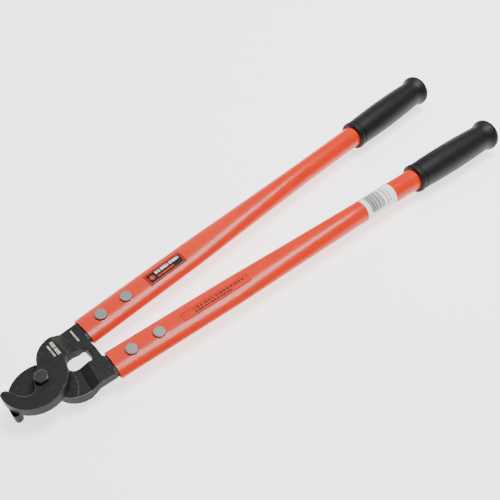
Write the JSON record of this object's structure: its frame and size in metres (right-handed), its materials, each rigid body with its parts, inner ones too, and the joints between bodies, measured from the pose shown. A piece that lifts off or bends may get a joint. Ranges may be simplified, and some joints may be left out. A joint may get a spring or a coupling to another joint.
{
  "type": "cable cutter",
  "caption": "Long-handled shear cable cutter: hooked forged blades crossing on a hex pivot bolt, oval-to-round tube arms riveted to the tangs, flared black grips",
  "frame": {"origin": "on the pivot bolt's axis, in the plane where the two blades slide on each other", "axes": "+X from the pivot along the tool towards the handles, +Z out of the bolt's head (front), +Y towards the arm whose blade lies in front; millimetre drawing, metres in the row"},
  "size_m": [0.7058, 0.1678, 0.0467],
  "materials": {
    "forged_steel": "satin black heat-treated skin with bright worn edges",
    "arm_paint": "gloss orange-red",
    "grip_rubber": "smooth satin",
    "rivet_steel": "dull",
    "black_hardware": "black oxide",
    "zinc_plate": "zinc plated",
    "nylon": "matte",
    "label_black": "gloss film",
    "label_orange": "gloss film",
    "sticker_white": "paper"
  },
  "bodies": {
    "lower_arm": {"lower_blade": "forged_steel", "lower_tube": "arm_paint", "lower_grip": "grip_rubber", "lower_front_rivet": "rivet_steel", "lower_rear_rivet": "rivet_steel", "pivot_bolt": "black_hardware", "pivot_washer": "zinc_plate", "pivot_lock_nut": "zinc_plate", "nut_locking_ring": "nylon", "long_label": "label_orange", "barcode_sticker": "sticker_white"},
    "upper_arm": {"upper_blade": "forged_steel", "upper_tube": "arm_paint", "upper_grip": "grip_rubber", "upper_front_rivet": "rivet_steel", "upper_rear_rivet": "rivet_steel", "maker_label": "label_black"}
  },
  "joints": [
    {"name": "jaw_pivot", "type": "hinge", "parent": "lower_arm", "child": "upper_arm", "pos_m": [0, 0, 0], "axis": [0, 0, 1], "range_deg": [0, 75]}
  ]
}
